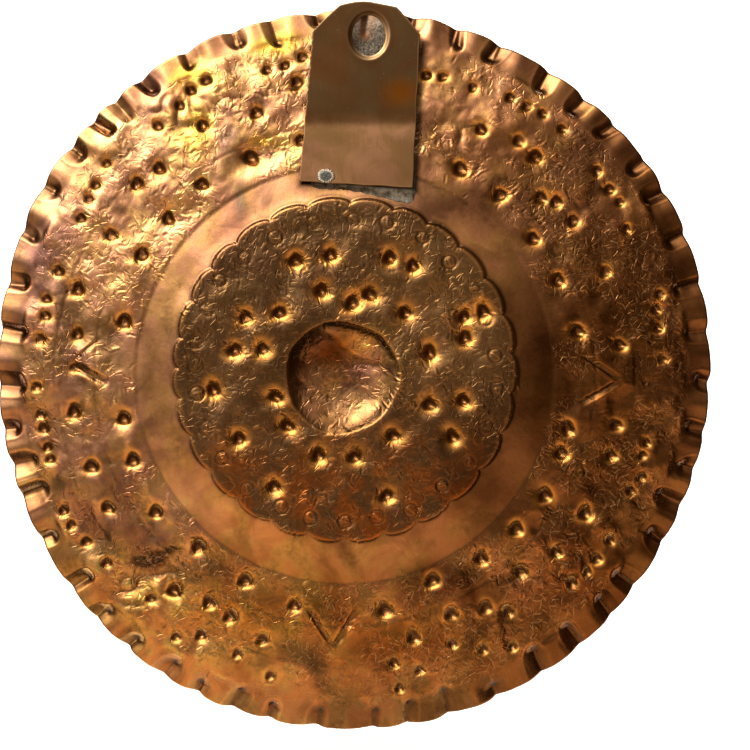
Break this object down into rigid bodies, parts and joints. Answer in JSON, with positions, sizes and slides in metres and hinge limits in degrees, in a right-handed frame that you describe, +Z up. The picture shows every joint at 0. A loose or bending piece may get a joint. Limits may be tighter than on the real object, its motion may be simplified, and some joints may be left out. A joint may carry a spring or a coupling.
{
  "type": "copper wall plate",
  "caption": "Round hammered copper wall plate, with a crimped rim, punched dimples, a scalloped rosette and a central dish, and a bent hanging tab soldered to its back.",
  "frame": {"origin": "middle of the box round the whole object, 0.6 mm left of and 0.8 mm above the middle that the rows of dimples are laid out from, and inside the depth of its relief", "axes": "+Z up as it hangs, +Y out of the wall towards the decorated front, +X to the right as seen from the back"},
  "size_m": [0.3034, 0.0154, 0.3068],
  "materials": {
    "copper": "hammered copper with uneven patina",
    "aged_copper": "brown, lightly brushed copper strip",
    "solder": "dull grey soft solder"
  },
  "bodies": {
    "root": {"plate": "copper", "hanger_tab": "aged_copper", "solder_joint": "solder", "solder_spot": "solder"}
  },
  "joints": []
}
